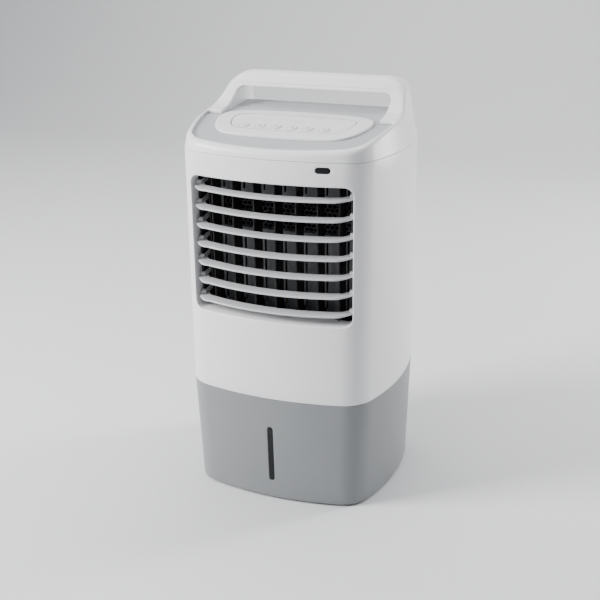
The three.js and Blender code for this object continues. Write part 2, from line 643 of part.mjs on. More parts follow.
function addTop() {
  const outer = coverSolid(0, COVER_Z, TOP_Z + 2)
    .intersect(prismX(coverProfile(), -160, 160))
    .intersect(prismY(loopShape(), -140, 140, 6));
  const cutDepth = -2.5 - 0.4;
  const recessBand = (half, y0, y1) => deckBand(y0, y1, cutDepth, 80, half);
  const deckPlan = prismZ(plan(RIM_INSET), COVER_Z - 5, TOP_Z + 10);
  const frontCut = deckPlan.intersect(recessBand(160, -135, HANDLE.foot));
  const arch = prismY(roundedRect(HANDLE.half, COVER_Z - 40, HANDLE.under, HANDLE.holeR), -20, OPENING_BACK);
  const scoopCut = recessBand(HANDLE.half, HANDLE.foot - 1, RIDGE.y).intersect(arch);
  const fallY = RIDGE.y + RIDGE_FALL.y;
  const fallZ = RIDGE.z - RIDGE_FALL.z;
  const handHole = arch.intersect(prismX([
    [-20, RIDGE.z], [RIDGE.y, RIDGE.z], [fallY, fallZ],
    [OPENING_BACK, fallZ], [OPENING_BACK, TOP_Z], [-20, TOP_Z],
  ], -130, 130));
  const hollow = coverSolid(WALL + 0.3, COVER_Z - 5, 560).intersect(prismX([
    [-140, COVER_Z - 5], [-140, 500], [-124, 506.5], [-60, 523], [HANDLE.foot, 531.4], [66, 532],
    [93, 523.5], [104, 518.5], [124, 514.5], [140, 506], [140, COVER_Z - 5],
  ], -160, 160));
  const grip = box(-HANDLE.half + 6, HANDLE.half - 6, HANDLE.barFront + 3, HANDLE.back - 4,
    HANDLE.under, HANDLE.under + 4.6);
  const gripSeat = box(-HANDLE.half + 5.7, HANDLE.half - 5.7, HANDLE.barFront + 2.7, HANDLE.back - 3.7,
    HANDLE.under - 5, HANDLE.under + 4.9);
  const cover = without(outer, frontCut, scoopCut, handHole, hollow, gripSeat);
  addNode("top_cover", cover, WHITE);
  addNode("handle_grip", grip.intersect(outer), WHITE);

  const keyRow = Array.from({ length: KEYS }, (_, i) => KEY_X + i * KEY_PITCH);
  const deckFront = prismZ(plan(RIM_INSET + 0.4), COVER_Z, TOP_Z)
    .intersect(box(-160, 160, -140, HANDLE.foot - 0.4, 0, 600));
  const deckRear = box(0.4 - HANDLE.half, HANDLE.half - 0.4, HANDLE.foot - 2, RIDGE.y - 0.4, 0, 600);
  const deck = deckBand(-130, RIDGE.y, -2.5, 0).intersect(joined(deckFront, deckRear));
  addNode("deck_panel", without(deck, prismZ(panelShape(2.2), 480, 560)), DECK);

  const bezelBand = deckBand(-100, 20, GAP, 3.2);
  const bezel = prismZ(bezelShape(), 480, 560).intersect(bezelBand);
  addNode("control_bezel", without(bezel, prismZ(panelShape(), 480, 560)), WHITE);

  const slope = Math.atan2(deckZ(KEY_Y + 4) - deckZ(KEY_Y - 4), 8);
  const keyTop = deckZ(KEY_Y) + 3;
  const key = (r, low, high) => {
    const geometry = new THREE.CylinderGeometry(r, r, high - low, 16).rotateX(Math.PI / 2);
    geometry.translate(0, 0, (high + low) / 2).rotateX(slope);
    return solid(geometry).translate([0, KEY_Y, keyTop]);
  };
  const panelBody = prismZ(panelShape(0.4), 480, 560).intersect(deckBand(-100, 20, GAP, 2.8));
  const keyHoles = keyRow.map((x) => key(KEY_R + 0.35, -9, 9).translate([x, 0, 0]));
  addNode("touch_panel", without(panelBody, ...keyHoles), WHITE);
  keyRow.forEach((x, i) => addNode(`key_${i + 1}`, key(KEY_R, -3.6, 0.6).translate([x, 0, 0]), WHITE));

  const parts = [[-30, -30, 8], [5, -28, 6], [35, -32, 9], [-5, -48, 4]];
  const board = joined(
    box(-64, 64, -66, -16, 508, 509.6),
    ...parts.map(([x, y, size]) =>
      box(x - size, x + size, y - size / 2, y + size / 2, 509, 509.6 + size / 2)),
  );
  addNode("control_board", board, BOARD);
}

addBase();
addTank();
addHousings();
addWetSide();
addLouvre();
addVanes();
addOutlet();
addBlower();
addTop();

export default cooler;
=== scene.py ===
import json
import math

import bmesh
import bpy
import numpy as np
from mathutils import Matrix, Vector


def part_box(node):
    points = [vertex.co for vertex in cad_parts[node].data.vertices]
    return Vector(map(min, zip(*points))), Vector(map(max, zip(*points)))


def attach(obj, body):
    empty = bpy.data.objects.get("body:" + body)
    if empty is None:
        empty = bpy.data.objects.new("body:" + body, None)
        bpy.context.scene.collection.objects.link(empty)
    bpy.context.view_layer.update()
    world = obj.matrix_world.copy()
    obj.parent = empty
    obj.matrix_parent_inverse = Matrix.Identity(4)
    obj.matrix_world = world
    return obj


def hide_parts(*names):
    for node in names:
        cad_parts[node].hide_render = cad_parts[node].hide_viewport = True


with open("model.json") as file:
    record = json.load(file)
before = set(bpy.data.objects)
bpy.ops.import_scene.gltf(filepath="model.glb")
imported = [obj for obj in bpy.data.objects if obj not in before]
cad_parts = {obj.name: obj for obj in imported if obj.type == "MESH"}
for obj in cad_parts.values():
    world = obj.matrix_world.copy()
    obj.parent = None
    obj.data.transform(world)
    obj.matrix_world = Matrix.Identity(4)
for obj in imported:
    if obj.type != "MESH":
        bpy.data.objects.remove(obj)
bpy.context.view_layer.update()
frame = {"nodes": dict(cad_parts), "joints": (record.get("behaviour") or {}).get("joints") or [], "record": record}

MM = 0.001
NODES = frame["nodes"]
JOINTS = {joint["name"]: joint for joint in frame["joints"]}
BODY_OF = {
    node: body
    for body, nodes in frame["record"]["behaviour"]["bodies"].items()
    for node in nodes
}
SLOT_OF = {part["node"]: part["material_slot"] for part in frame["record"]["subparts"]}


def box_mm(node):
    low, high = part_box(node)
    return [v / MM for v in low], [v / MM for v in high]


# ---- dimensions that the frame gives -------------------------------------------------------------
HALF_W = box_mm("front_housing")[1][0]
HALF_D = box_mm("rear_housing")[1][1]
TOP_Z = box_mm("top_cover")[1][2]
BASE_Z, BASE_TOP = box_mm("base_shell")[0][2], box_mm("base_shell")[1][2]
HOUSING_Z, HOUSING_TOP = box_mm("front_housing")[0][2], box_mm("front_housing")[1][2]
COVER_Z = box_mm("top_cover")[0][2]
SPLIT_Y = box_mm("front_housing")[1][1]
RIDGE_Y, RIDGE_Z = box_mm("deck_panel")[1][1] + 0.4, box_mm("deck_panel")[1][2]
KEY_COUNT = 6
BLADE_COUNT = 7
VANE_COUNT = 7

# ---- dimensions of the plan, the same as the CAD model's ----------------------------------------------
FRONT_R = 418.0
SIDE_R = 327.0
SIDE_Y = 8.0
REAR_R = 900.0
FRONT_CORNER = 48.5
REAR_CORNER = 60.0
WALL = 2.5
BASE_TAPER = 5.0
BASE_SHIFT = 2.5
COVER_LEAN = 0.19
RIM_INSET = 11.5
OPENING_HALF = 115.2
OPENING_LOW = 276.9
OPENING_HIGH = 466.5
OPENING_R = 12.0
RECESS_BACK = -97.0
HANDLE_HALF = 116.5
HANDLE_FOOT = -14.0
HANDLE_UNDER = 562.5
BAR_FRONT = 43.0
BAR_BACK = 91.0


# ---- outlines ---------------------------------------------------------------------------------------
def corner_centre(first, second, r, side):
    """Centre of the corner of radius r that joins two bows, each (x, y, radius), from inside."""
    reach1, reach2 = first[2] - r, second[2] - r
    dx, dy = second[0] - first[0], second[1] - first[1]
    span = math.hypot(dx, dy)
    along = (span**2 + reach1**2 - reach2**2) / (2 * span)
    across = math.sqrt(reach1**2 - along**2)
    both = [
        (first[0] + (dx * along - s * dy * across) / span, first[1] + (dy * along + s * dx * across) / span)
        for s in (1, -1)
    ]
    return max(both, key=lambda c: c[0] + side * c[1])


def plan_arcs(inset=0.0):
    """The eight arcs of the plan, anticlockwise from the front: (x, y, radius, from, to)."""
    front = (0.0, FRONT_R - HALF_D, FRONT_R - inset)
    side = (HALF_W - SIDE_R, SIDE_Y, SIDE_R - inset)
    rear = (0.0, HALF_D - REAR_R, REAR_R - inset)
    r1, r2 = FRONT_CORNER - inset, REAR_CORNER - inset
    c1 = corner_centre(front, side, r1, -1)
    c2 = corner_centre(side, rear, r2, 1)
    a1 = math.atan2(c1[1] - front[1], c1[0])
    a2 = math.atan2(c1[1] - side[1], c1[0] - side[0])
    a3 = math.atan2(c2[1] - side[1], c2[0] - side[0])
    a4 = math.atan2(c2[1] - rear[1], c2[0])
    pi = math.pi
    return [
        (0.0, front[1], front[2], -pi - a1, a1),
        (c1[0], c1[1], r1, a1, a2),
        (side[0], side[1], side[2], a2, a3),
        (c2[0], c2[1], r2, a3, a4),
        (0.0, rear[1], rear[2], a4, pi - a4),
        (-c2[0], c2[1], r2, pi - a4, pi - a3),
        (-side[0], side[1], side[2], pi - a3, pi - a2),
        (-c1[0], c1[1], r1, pi - a2, pi - a1),
    ]


ARC_STEPS = (48, 18, 24, 18, 32, 18, 24, 18)


def plan_points(inset=0.0):
    """The plan outline as points, the same number for every inset."""
    points = []
    for (x, y, r, start, stop), steps in zip(plan_arcs(inset), ARC_STEPS):
        for i in range(steps):
            a = start + (stop - start) * i / steps
            points.append((x + r * math.cos(a), y + r * math.sin(a)))
    return np.array(points)


def plan_distance(x, y):
    """Distance from the plan outline, negative inside, of arrays of points."""
    best = np.full(np.broadcast(x, y).shape, -1e9)
    for cx, cy, r, start, stop in plan_arcs():
        angle = np.arctan2(y - cy, x - cx)
        turn = np.mod(angle - start, 2 * math.pi)
        away = np.hypot(x - cx, y - cy) - r
        best = np.maximum(best, np.where(turn <= stop - start, away, -1e9))
    return best


def front_y(x, inset=0.0):
    """How far forward the plan reaches at x."""
    arcs = plan_arcs(inset)
    cx, cy, r, start, _ = arcs[1]
    edge = cx + r * math.cos(start)
    x = np.abs(np.asarray(x, float))
    bow = arcs[0][1] - np.sqrt(np.maximum(arcs[0][2] ** 2 - x**2, 0))
    corner = cy - np.sqrt(np.maximum(r**2 - (x - cx) ** 2, 0))
    return np.where(x <= edge, bow, corner)


def rounded_rect(half, low, high, r, steps=8):
    """A rounded rectangle centred on x = 0, as (x, z) points, anticlockwise from its lower right."""
    points = []
    for cx, cz, start in ((half - r, low + r, -90), (half - r, high - r, 0), (r - half, high - r, 90), (r - half, low + r, 180)):
        for i in range(steps + 1):
            a = math.radians(start + 90 * i / steps)
            points.append((cx + r * math.cos(a), cz + r * math.sin(a)))
    return np.array(points)


def densify(points, step):
    """Adds points along the long edges of a closed outline."""
    out = []
    for i, p in enumerate(points):
        q = points[(i + 1) % len(points)]
        count = max(1, int(np.hypot(*(q - p)) / step))
        out += [p + (q - p) * k / count for k in range(count)]
    return np.array(out)


def smooth_closed(right_half, count):
    """A smooth closed outline through the points of its right half, mirrored to the left."""
    left = [(-x, y) for x, y in right_half[1:-1]][::-1]
    knots = np.array(list(right_half) + left, float)
    n = len(knots)
    out = []
    for k in range(n):
        p0, p1, p2, p3 = knots[k - 1], knots[k], knots[(k + 1) % n], knots[(k + 2) % n]
        t0, t1 = 0.0, np.hypot(*(p1 - p0)) ** 0.5
        t2 = t1 + np.hypot(*(p2 - p1)) ** 0.5
        t3 = t2 + np.hypot(*(p3 - p2)) ** 0.5
        for i in range(count):
            t = t1 + (t2 - t1) * i / count
            a1 = (t1 - t) / (t1 - t0) * p0 + (t - t0) / (t1 - t0) * p1
            a2 = (t2 - t) / (t2 - t1) * p1 + (t - t1) / (t2 - t1) * p2
            a3 = (t3 - t) / (t3 - t2) * p2 + (t - t2) / (t3 - t2) * p3
            b1 = (t2 - t) / (t2 - t0) * a1 + (t - t0) / (t2 - t0) * a2
            b2 = (t3 - t) / (t3 - t1) * a2 + (t - t1) / (t3 - t1) * a3
            out.append((t2 - t) / (t2 - t1) * b1 + (t - t1) / (t2 - t1) * b2)
    return np.array(out)


def offset_outline(points, distance):
    """Moves a closed anticlockwise outline inwards along its normals."""
    ahead = np.roll(points, -1, axis=0) - np.roll(points, 1, axis=0)
    normal = np.stack([-ahead[:, 1], ahead[:, 0]], axis=1)
    return points + distance * normal / np.linalg.norm(normal, axis=1)[:, None]


# ---- heights of the top ----------------------------------------------------------------------------------
def rim_z(y):
    t = y + 126.0
    return 510.0 + 0.32 * t - 0.00085 * t * t


def deck_z(y):
    turn = -20.0
    y = np.asarray(y, float)
    start = rim_z(turn) - 4.5
    f = (y - turn) / (RIDGE_Y - turn)
    rear = start + (RIDGE_Z - start) * (0.75 * f + 0.25 * f * f)
    return np.where(y <= turn, rim_z(y) - 4.5, rear)


# ---- mesh making -------------------------------------------------------------------------------------------
def object_from(name, verts, faces):
    mesh = bpy.data.meshes.new(name)
    mesh.from_pydata([tuple(v * MM for v in p) for p in verts], [], [tuple(f) for f in faces])
    mesh.validate()
    obj = bpy.data.objects.new(name, mesh)
    bpy.context.scene.collection.objects.link(obj)
    return obj


def loft(name, rings, closed=False):
    """Joins rings of equal length into a skin; closed joins the last to the first, else both ends are capped."""
    rings = [np.asarray(r, float) for r in rings]
    n = len(rings[0])
    verts = np.concatenate(rings)
    faces = []
    spans = len(rings) if closed else len(rings) - 1
    for k in range(spans):
        a, b = k * n, ((k + 1) % len(rings)) * n
        for i in range(n):
            j = (i + 1) % n
            faces.append((a + i, a + j, b + j, b + i))
    if not closed:
        faces.append(tuple(range(n))[::-1])
        faces.append(tuple(range((len(rings) - 1) * n, len(rings) * n)))
    obj = object_from(name, verts, faces)
    outward(obj)
    return obj


def outward(obj):
    bm = bmesh.new()
    bm.from_mesh(obj.data)
    bmesh.ops.recalc_face_normals(bm, faces=bm.faces)
    if bm.calc_volume(signed=True) < 0:
        bmesh.ops.reverse_faces(bm, faces=bm.faces)
    bm.to_mesh(obj.data)
    bm.free()


def baked(obj):
    """Applies an object's modifiers to its mesh."""
    graph = bpy.context.evaluated_depsgraph_get()
    mesh = bpy.data.meshes.new_from_object(obj.evaluated_get(graph))
    obj.modifiers.clear()
    obj.data = mesh
    return obj


def combine(obj, tool, operation):
    """A boolean of two closed objects; the tool is used up."""
    mod = obj.modifiers.new("boolean", "BOOLEAN")
    mod.operation = operation
    mod.solver = "MANIFOLD"
    mod.object = tool
    baked(obj)
    bpy.data.objects.remove(tool)
    return obj


def box_object(name, x0, x1, y0, y1, z0, z1, bevel=0.0, segments=3):
    corners = [(x0, y0), (x1, y0), (x1, y1), (x0, y1)]
    obj = loft(name, [[(x, y, z) for x, y in corners] for z in (z0, z1)])
    if bevel:
        round_edges(obj, bevel, segments)
    return obj


def round_edges(obj, width, segments=3, angle=30):
    mod = obj.modifiers.new("bevel", "BEVEL")
    mod.width = width * MM
    mod.segments = segments
    mod.limit_method = "ANGLE"
    mod.angle_limit = math.radians(angle)
    mod.harden_normals = False
    return baked(obj)


def rod_object(name, axis, r, a, b, u, v, sides=24, edge=0.0):
    """A round rod along an axis from a to b, centred on (u, v) in the other two axes, its ends rounded by edge."""
    stations = [(a, r)] if not edge else [
        (a + edge * (1 - math.sin(t)), r - edge * (1 - math.cos(t))) for t in np.linspace(math.pi / 2, 0, 4)
    ]
    stations += [(b - (s - a), radius) for s, radius in stations[::-1]] if edge else [(b, r)]
    rings = []
    for s, radius in stations:
        ring = []
        for i in range(sides):
            t = 2 * math.pi * i / sides
            p, q = u + radius * math.cos(t), v + radius * math.sin(t)
            ring.append({"x": (s, p, q), "y": (p, s, q), "z": (p, q, s)}[axis])
        rings.append(ring)
    return loft(name, rings)


def smooth(obj, angle=32):
    """Smooth shading, with edges sharper than the angle left hard."""
    bm = bmesh.new()
    bm.from_mesh(obj.data)
    limit = math.radians(angle)
    for face in bm.faces:
        face.smooth = True
    for edge in bm.edges:
        edge.smooth = len(edge.link_faces) == 2 and edge.calc_face_angle(0) < limit
    bm.to_mesh(obj.data)
    bm.free()
    return obj


# ---- rounded solids from a distance field --------------------------------------------------------------------
def round_max(a, b, r):
    """Intersection of two distance fields, its edge rounded to radius r."""
    u, v = np.maximum(a + r, 0), np.maximum(b + r, 0)
    return np.minimum(np.maximum(a, b), -r) + np.hypot(u, v)


def polygon_distance(px, py, points):
    """Distance from a closed polygon, negative inside."""
    px, py = np.asarray(px, float), np.asarray(py, float)
    best = np.full(np.broadcast(px, py).shape, 1e18)
    inside = np.zeros(best.shape, bool)
    for (ax, ay), (bx, by) in zip(points, np.roll(points, -1, axis=0)):
        ex, ey = bx - ax, by - ay
        wx, wy = px - ax, py - ay
        t = np.clip((wx * ex + wy * ey) / (ex * ex + ey * ey), 0, 1)
        best = np.minimum(best, (wx - t * ex) ** 2 + (wy - t * ey) ** 2)
        crossing = (ay > py) != (by > py)
        with np.errstate(divide="ignore", invalid="ignore"):
            where = ax + (py - ay) * ex / (ey if ey else 1e-12)
        inside ^= crossing & (px < where)
    return np.where(inside, -1, 1) * np.sqrt(best)


def net_surface(name, field, low, high, cell, sink=0.45):
    """A quad skin on the zero level of field(x, y, z), found in cells and drawn on to the level itself."""
    axes = [np.arange(l - 1.37 * cell, h + 2 * cell, cell) for l, h in zip(low, high)]
    values = field(axes[0][:, None, None], axes[1][None, :, None], axes[2][None, None, :])
    values = np.ascontiguousarray(np.broadcast_to(values, [len(a) for a in axes]))
    shape = tuple(n - 1 for n in values.shape)
    total = np.zeros(shape + (3,))
    count = np.zeros(shape)
    corners = [(i, j, k) for i in (0, 1) for j in (0, 1) for k in (0, 1)]
    pick = lambda c: values[c[0] : c[0] + shape[0], c[1] : c[1] + shape[1], c[2] : c[2] + shape[2]]
    for a in corners:
        for axis in range(3):
            if a[axis]:
                continue
            b = tuple(v + (n == axis) for n, v in enumerate(a))
            va, vb = pick(a), pick(b)
            cross = (va < 0) != (vb < 0)
            t = np.where(cross, va / np.where(cross, va - vb, 1), 0)
            for n in range(3):
                total[..., n] += cross * (a[n] + (t if n == axis else 0))
            count += cross
    used = count > 0
    index = np.full(shape, -1, int)
    index[used] = np.arange(used.sum())
    where = np.argwhere(used)
    verts = np.stack([axes[n][where[:, n]] + cell * total[used][:, n] / count[used] for n in range(3)], axis=1)
    faces = []
    for axis in range(3):
        u, v = (axis + 1) % 3, (axis + 2) % 3
        first = [slice(None)] * 3
        second = [slice(None)] * 3
        first[axis], second[axis] = slice(0, -1), slice(1, None)
        sign = (values[tuple(first)] < 0).astype(int) - (values[tuple(second)] < 0).astype(int)
        for way in (1, -1):
            at = np.argwhere(sign == way)
            at = at[(at[:, u] > 0) & (at[:, v] > 0) & (at[:, u] < shape[u]) & (at[:, v] < shape[v])]
            quad = []
            for du, dv in ((-1, -1), (0, -1), (0, 0), (-1, 0)):
                cellat = at.copy()
                cellat[:, u] += du
                cellat[:, v] += dv
                quad.append(index[cellat[:, 0], cellat[:, 1], cellat[:, 2]])
            quad = np.stack(quad, axis=1)
            faces.append(quad if way == 1 else quad[:, ::-1])
    faces = np.concatenate(faces)
    h = 0.02
    start = verts.copy()
    for _ in range(4):
        f = field(*verts.T)
        grad = np.stack([(field(*(verts + h * np.eye(3)[n]).T) - field(*(verts - h * np.eye(3)[n]).T)) / (2 * h) for n in range(3)], axis=1)
        step = f[:, None] * grad / np.maximum((grad**2).sum(axis=1), 0.2)[:, None]
        verts = verts - np.clip(step, -sink * cell, sink * cell)
    verts = start + np.clip(verts - start, -0.9 * cell, 0.9 * cell)
    mesh = bpy.data.meshes.new(name)
    mesh.from_pydata((verts * MM).tolist(), [], faces.tolist())
    obj = bpy.data.objects.new(name, mesh)
    bpy.context.scene.collection.objects.link(obj)
    return obj


# ---- materials ------------------------------------------------------------------------------------------------
def material(name, color, roughness, metallic=0.0, grain=0.0, grain_scale=900.0, mottle=0.02, mottle_scale=14.0,
             specular=0.5, rough_spread=0.05):
    """Moulded plastic, metal or rubber: colour that drifts slightly, uneven gloss, and a fine surface grain."""
    mat = bpy.data.materials.new(name)
    mat.use_nodes = True
    tree = mat.node_tree
    tree.nodes.clear()
    out = tree.nodes.new("ShaderNodeOutputMaterial")
    shader = tree.nodes.new("ShaderNodeBsdfPrincipled")
    tree.links.new(shader.outputs["BSDF"], out.inputs["Surface"])
    shader.inputs["Metallic"].default_value = metallic
    shader.inputs["Specular IOR Level"].default_value = specular
    where = tree.nodes.new("ShaderNodeTexCoord")
    drift = tree.nodes.new("ShaderNodeTexNoise")
    drift.inputs["Scale"].default_value = mottle_scale
    drift.inputs["Detail"].default_value = 3
    tree.links.new(where.outputs["Object"], drift.inputs["Vector"])
    tint = tree.nodes.new("ShaderNodeValToRGB")
    tint.color_ramp.elements[0].position, tint.color_ramp.elements[1].position = 0.3, 0.7
    tint.color_ramp.elements[0].color = [max(0, c * (1 - mottle)) for c in color] + [1]
    tint.color_ramp.elements[1].color = [min(1, c * (1 + mottle)) for c in color] + [1]
    tree.links.new(drift.outputs["Fac"], tint.inputs["Fac"])
    tree.links.new(tint.outputs["Color"], shader.inputs["Base Color"])
    spread = tree.nodes.new("ShaderNodeMapRange")
    spread.inputs["To Min"].default_value = max(0.03, roughness - rough_spread)
    spread.inputs["To Max"].default_value = min(1.0, roughness + rough_spread)
    tree.links.new(drift.outputs["Fac"], spread.inputs["Value"])
    tree.links.new(spread.outputs["Result"], shader.inputs["Roughness"])
    if grain:
        fine = tree.nodes.new("ShaderNodeTexNoise")
        fine.inputs["Scale"].default_value = grain_scale
        fine.inputs["Detail"].default_value = 2
        tree.links.new(where.outputs["Object"], fine.inputs["Vector"])
        bump = tree.nodes.new("ShaderNodeBump")
        bump.inputs["Strength"].default_value = grain
        bump.inputs["Distance"].default_value = 0.0003
        tree.links.new(fine.outputs["Fac"], bump.inputs["Height"])
        tree.links.new(bump.outputs["Normal"], shader.inputs["Normal"])
    return mat


WHITE = material("white_shell", (0.78, 0.78, 0.79), 0.32, grain=0.05, grain_scale=1400, mottle=0.008)
# Blade white: the shell's white plastic with its colour darkened, painted shade for the blades' tops under the blade
# above.
SHADED_BLADE_WHITE = material("white_blade_painted_shade", (0.50, 0.505, 0.515), 0.33, grain=0.05, grain_scale=1400, mottle=0.01)
CONTROL = material("white_control", (0.76, 0.76, 0.77), 0.30, grain=0.03, grain_scale=1600, mottle=0.006)
GREY = material("grey_shell", (0.20, 0.21, 0.218), 0.40, grain=0.35, grain_scale=1500, mottle=0.02)
DECK = material("grey_deck", (0.40, 0.415, 0.43), 0.42, grain=0.3, grain_scale=1500, mottle=0.015)
LENS = material("dark_lens", (0.006, 0.007, 0.008), 0.16, mottle=0.1, specular=0.25)
BLACK = material("black_plastic", (0.012, 0.012, 0.014), 0.5, grain=0.3, mottle=0.1)
# Black plastic of the vanes and blower, darkened below the black plastic above: partly their own black, partly painted
# shade of the deep outlet.
SHADED_BLACK = material("vane_plastic", (0.0035, 0.0035, 0.004), 0.6, grain=0.3, mottle=0.1)
DARK = material("dark_plate", (0.125, 0.13, 0.138), 0.5, grain=0.4, mottle=0.06)
WIRE = material("guard_wire", (0.16, 0.165, 0.175), 0.4, metallic=0.2, grain=0.2, mottle=0.1)
STEEL = material("plated_steel", (0.45, 0.46, 0.47), 0.35, metallic=1.0, grain=0.15, mottle=0.06)
RUBBER = material("foot_rubber", (0.03, 0.03, 0.032), 0.85, grain=0.6, grain_scale=700, mottle=0.1)
PULP = material("pad_pulp", (0.20, 0.12, 0.045), 0.95, grain=0.9, grain_scale=420, mottle=0.2, mottle_scale=60)
CLEAR = material("translucent_plastic", (0.55, 0.58, 0.60), 0.3, grain=0.1, mottle=0.03)
BOARD = material("board_green", (0.015, 0.09, 0.03), 0.4, grain=0.3, mottle=0.15, mottle_scale=90)
FLOAT = material("float_foam", (0.60, 0.13, 0.03), 0.7, grain=0.7, grain_scale=500, mottle=0.08)
MESH = material("filter_mesh", (0.05, 0.052, 0.056), 0.8, grain=0.8, grain_scale=900, mottle=0.15)
PRINT = material("key_print", (0.10, 0.105, 0.11), 0.5, mottle=0.05, mottle_scale=200)
# Grey for the ring that fills the gap around the touch panel: painted shade of that gap.
GAP_SHADE_GREY = material("panel_gap_painted_shade", (0.26, 0.265, 0.27), 0.55, grain=0.2, mottle=0.05)
LOOKS = {
    "white": WHITE, "grey": GREY, "deck": DECK, "lens": LENS, "black": BLACK, "dark": DARK, "metal": STEEL,
    "rubber": RUBBER, "pulp": PULP, "mesh": MESH, "clear": CLEAR, "board": BOARD, "float": FLOAT,
}


def piece(obj, look, node, replaces=True, angle=32):
    """Finishes a piece: its shading, its material, the body of a CAD node, and the node it stands for."""
    smooth(obj, angle)
    obj.data.materials.clear()
    obj.data.materials.append(look)
    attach(obj, BODY_OF[node])
    if replaces:
        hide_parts(node)
    return obj


# ---- housings -------------------------------------------------------------------------------------------------
def wall_profile(z0, z1, thick, r=1.0):
    """The closed section of a housing's wall, as (inset, z), its outer edges rounded by r."""
    arc = [math.radians(a) for a in (0, 30, 60, 90)]
    bottom = [(r - r * math.sin(a), z0 + r - r * math.cos(a)) for a in arc]
    top = [(r - r * math.cos(a), z1 - r + r * math.sin(a)) for a in arc]
    return bottom + top + [(thick, z1), (thick, z0)]


def base_ring(inset, z):
    """The plan at a height of the base, which draws in towards the floor."""
    f = (HOUSING_Z - z) / (HOUSING_Z - BASE_Z)
    points = plan_points(inset) * (1 - BASE_TAPER * f / HALF_W)
    points[:, 1] += BASE_SHIFT * f
    return np.column_stack([points, np.full(len(points), z)])


def level_ring(inset, z):
    points = plan_points(inset)
    return np.column_stack([points, np.full(len(points), z)])


def front_cutter(name, outline, lip, back, draft=0.0, surface=front_y):
    """A cutter for an opening in the bowed front: its mouth flares by lip, and it runs back to y = back."""
    n = len(outline)
    rings = []

    def ring(grow, y_of):
        points = offset_outline(outline, -grow)
        rings.append(np.column_stack([points[:, 0], y_of(points), points[:, 1]]))

    ring(lip, lambda p: np.full(n, -170.0))
    for a in (0, 22.5, 45, 67.5, 90):
        turn = math.radians(a)
        ring(lip * (1 - math.sin(turn)), lambda p: surface(p[:, 0], p[:, 1]) + lip * (1 - math.cos(turn)))
    ring(-draft, lambda p: np.full(n, back))
    return loft(name, rings)


def prism_y(name, outline, y0, y1):
    return loft(name, [[(x, y, z) for x, z in outline] for y in (y0, y1)])


def prism_z(name, outline, z0, z1):
    return loft(name, [[(x, y, z) for x, y in outline] for z in (z0, z1)])


def pivot_mm(joint):
    return [v / MM for v in JOINTS[joint]["pos_m"]]


def white_front(x, z):
    return front_y(x)


def grey_front(x, z):
    """Front of the tapered base at (x, z)."""
    f = (HOUSING_Z - z) / (HOUSING_Z - BASE_Z)
    scale = 1 - BASE_TAPER * f / HALF_W
    return front_y(x / scale) * scale + BASE_SHIFT * f


def build_housings():
    profile = refined(wall_profile(HOUSING_Z, HOUSING_TOP, WALL))
    shell = loft("front_housing_shell", [level_ring(i, z) for i, z in profile], closed=True)
    rear = shell.copy()
    rear.data = shell.data.copy()
    rear.name = "rear_housing_shell"
    bpy.context.scene.collection.objects.link(rear)

    combine(shell, box_object("cut", -200, 200, -200, SPLIT_Y, 100, 600), "INTERSECT")
    outline = densify(rounded_rect(OPENING_HALF, OPENING_LOW, OPENING_HIGH, OPENING_R), 6)
    walls = prism_y("walls", offset_outline(outline, -2.4), -170, RECESS_BACK)
    combine(walls, loft("core", [level_ring(0.8, z) for z in (200, 490)]), "INTERSECT")
    combine(shell, walls, "UNION")
    combine(shell, front_cutter("mouth", outline, 1.6, RECESS_BACK + 6, draft=0.9, surface=white_front), "DIFFERENCE")
    low, high = box_mm("ir_window")
    ir = rounded_rect(10.0, low[2] - 0.3, high[2] + 0.3, 4.1)
    ir[:, 0] += (low[0] + high[0]) / 2
    combine(shell, front_cutter("ir", densify(ir, 3), 0.5, -110, surface=white_front), "DIFFERENCE")
    for i in range(BLADE_COUNT):
        x, y, z = pivot_mm(f"louvre_tilt_{i + 1}")
        combine(shell, rod_object("bearing", "x", 2.2, -118.5, 118.5, y, z, 12), "DIFFERENCE")
    piece(shell, WHITE, "front_housing")

    combine(rear, box_object("cut", -200, 200, SPLIT_Y + 0.3, 200, 100, 600), "INTERSECT")
    low, high = box_mm("intake_grille")
    combine(rear, prism_y("cut", rounded_rect(high[0] + 0.4, low[2] - 0.4, high[2] + 0.4, 5), 90, 160), "DIFFERENCE")
    low, high = box_mm("cord_inlet")
    hole = rod_object("cut", "y", 6.4, 110, 150, (low[0] + high[0]) / 2, (low[2] + high[2]) / 2)
    combine(rear, hole, "DIFFERENCE")
    piece(rear, WHITE, "rear_housing")


def refined(profile, step=16.0):
    """Adds points along the long stretches of a closed wall section."""
    return densify(np.array(profile), step)


def build_base():
    arc = [math.radians(a) for a in (0, 22.5, 45, 67.5, 90)]
    r = 1.6
    foot = [(r - r * math.sin(a), BASE_Z + r - r * math.cos(a)) for a in arc]
    side = [(0.0, z) for z in np.linspace(BASE_Z + 10, BASE_TOP - 4, 12)]
    top = [(0.5 - 0.5 * math.cos(a), BASE_TOP - 0.5 + 0.5 * math.sin(a)) for a in arc]
    inner = [(WALL, BASE_TOP), (WALL, BASE_Z + 3.2)]
    base = loft("base_body", [base_ring(i, z) for i, z in foot + side + top + inner])
    low, high = box_mm("water_tank")
    bay = rounded_rect(high[0] + 0.4, BASE_Z + 3, high[2] + 0.4, 4)
    combine(base, loft("cut", [[(x, y, z) for x, z in bay] for y in (100, 160)]), "DIFFERENCE")
    slot_low, slot_high = box_mm("level_window")
    slot = densify(rounded_rect(4.25, slot_low[2] - 0.3, slot_high[2] + 0.3, 4.2), 5)
    combine(base, front_cutter("slot", slot, 0.6, -100, surface=grey_front), "DIFFERENCE")
    piece(base, GREY, "base_shell")


